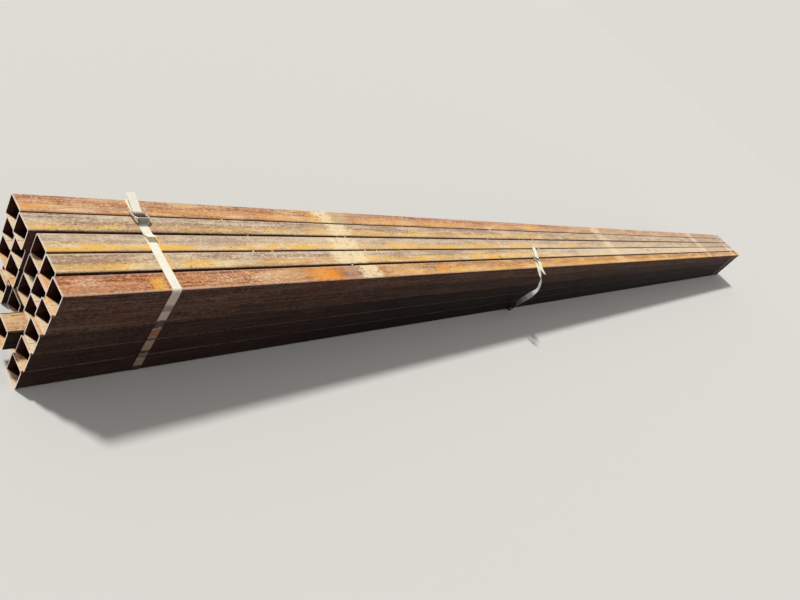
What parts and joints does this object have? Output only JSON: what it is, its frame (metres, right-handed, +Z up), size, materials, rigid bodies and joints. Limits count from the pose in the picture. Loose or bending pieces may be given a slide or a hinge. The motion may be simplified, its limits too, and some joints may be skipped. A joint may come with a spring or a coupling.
{
  "type": "bundle of square steel tubes",
  "caption": "Strapped bundle of rusty square steel tubes, stacked in rows and columns, held by flat straps with wire buckles.",
  "frame": {"origin": "centre of the bottom of the whole bundle's box, on the undersides of the straps that it rests on", "axes": "+X along the tubes from the staggered near end to the far end, +Y across to the back side, +Z up"},
  "size_m": [7.4062, 0.4152, 0.3392],
  "materials": {
    "rusted_steel": "mill scale with brown and orange rust, matt",
    "strap": "cream corded polyester strapping, slightly dirty",
    "buckle_wire": "galvanised wire, dull"
  },
  "bodies": {
    "root": {"tube_row1_column1": "rusted_steel", "tube_row1_column2": "rusted_steel", "tube_row1_column3": "rusted_steel", "tube_row1_column4": "rusted_steel", "tube_row1_column5": "rusted_steel", "tube_row2_column1": "rusted_steel", "tube_row2_column2": "rusted_steel", "tube_row2_column3": "rusted_steel", "tube_row2_column4": "rusted_steel", "tube_row2_column5": "rusted_steel", "tube_row3_column1": "rusted_steel", "tube_row3_column2": "rusted_steel", "tube_row3_column3": "rusted_steel", "tube_row3_column4": "rusted_steel", "tube_row3_column5": "rusted_steel", "tube_row4_column1": "rusted_steel", "tube_row4_column2": "rusted_steel", "tube_row4_column3": "rusted_steel", "tube_row4_column4": "rusted_steel", "tube_row4_column5": "rusted_steel", "tube_row5_column1": "rusted_steel", "tube_row5_column2": "rusted_steel", "tube_row5_column3": "rusted_steel", "tube_row5_column4": "rusted_steel", "tube_row5_column5": "rusted_steel", "strap_near": "strap", "strap_far": "strap", "strap_slack": "strap", "strap_slack_stub": "strap", "buckle_near": "buckle_wire", "buckle_far": "buckle_wire", "buckle_slack": "buckle_wire"}
  },
  "joints": []
}
